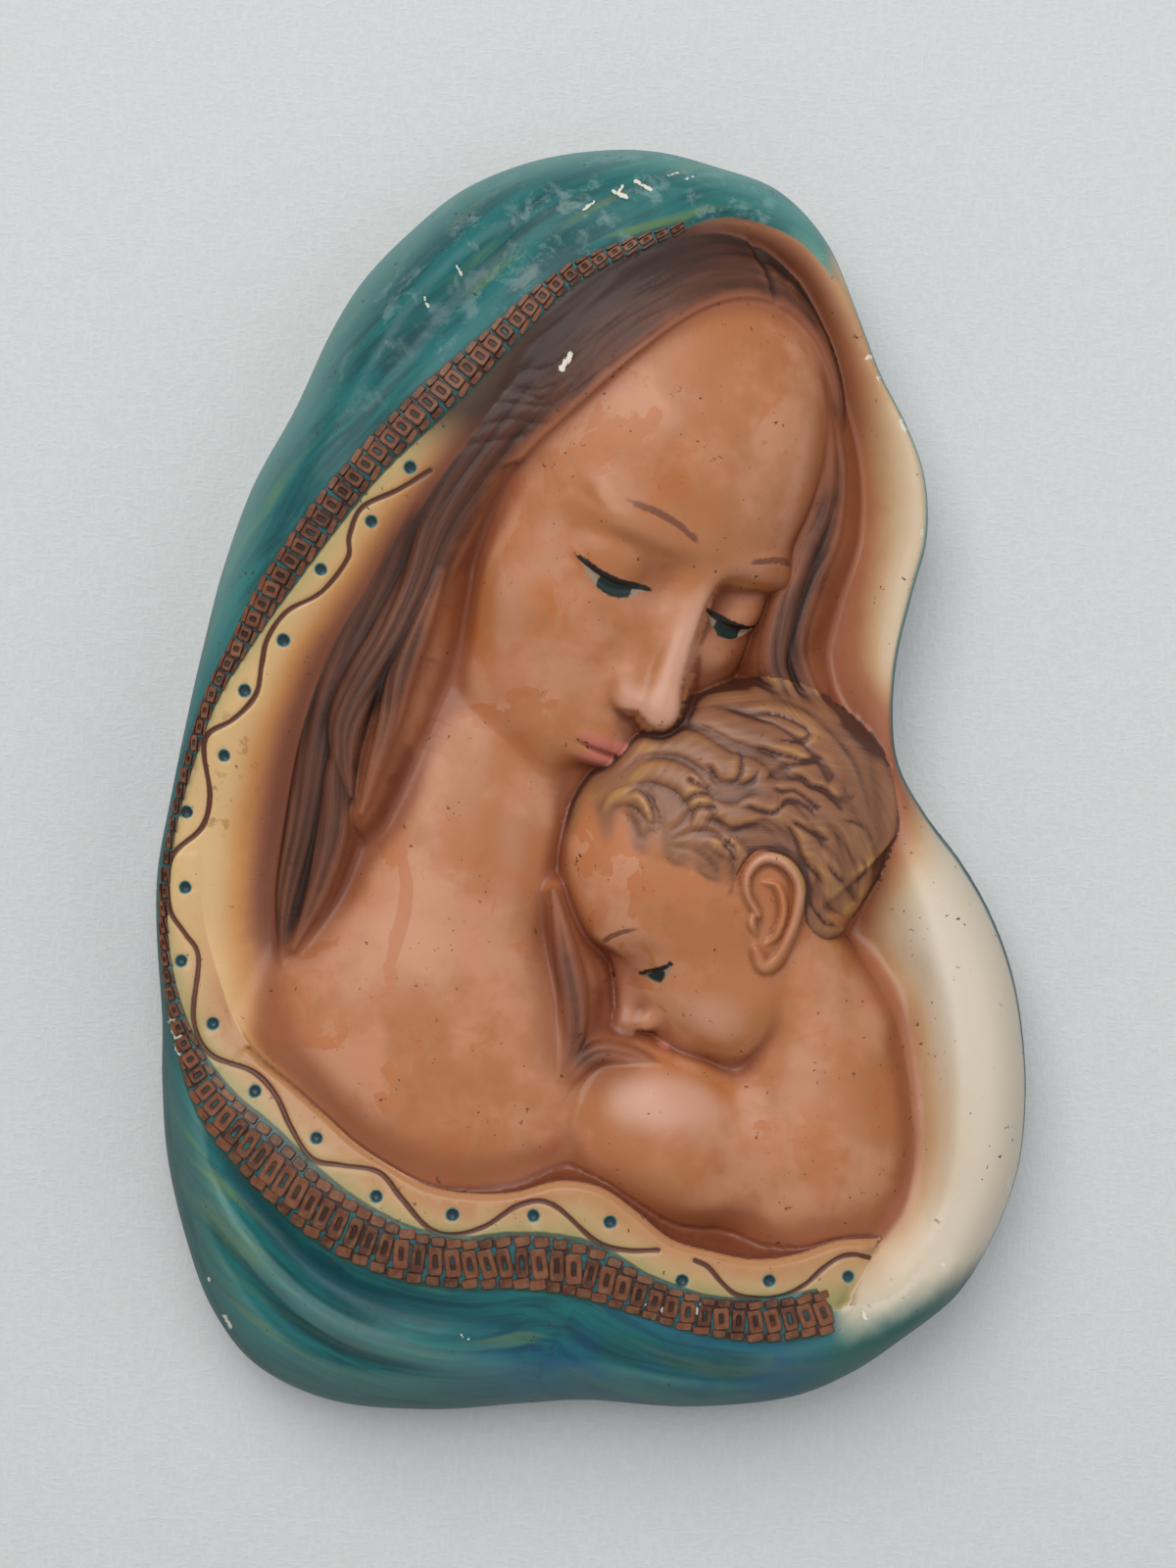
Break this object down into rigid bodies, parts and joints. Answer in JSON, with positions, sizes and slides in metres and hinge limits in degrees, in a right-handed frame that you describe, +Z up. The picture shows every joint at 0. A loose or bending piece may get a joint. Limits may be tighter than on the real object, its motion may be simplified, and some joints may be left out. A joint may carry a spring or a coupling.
{
  "type": "plaster madonna wall plaque",
  "caption": "Wall plaque in painted, varnished plaster: a veiled mother in relief bends her head over a child asleep on her shoulder; flat back with a blind nail hole.",
  "frame": {"origin": "on the flat back, at the point the plaque is held by, 29 mm below its top edge and on the line of its hanging hole", "axes": "+Z up the wall, +X to the right as seen from the room, +Y into the wall; the carved front faces -Y"},
  "size_m": [0.2063, 0.0477, 0.3001],
  "materials": {
    "painted_plaster": "cast plaster, hand painted in flesh tones, teal, cream and brown, and varnished"
  },
  "bodies": {
    "root": {"plaque": "painted_plaster"}
  },
  "joints": []
}
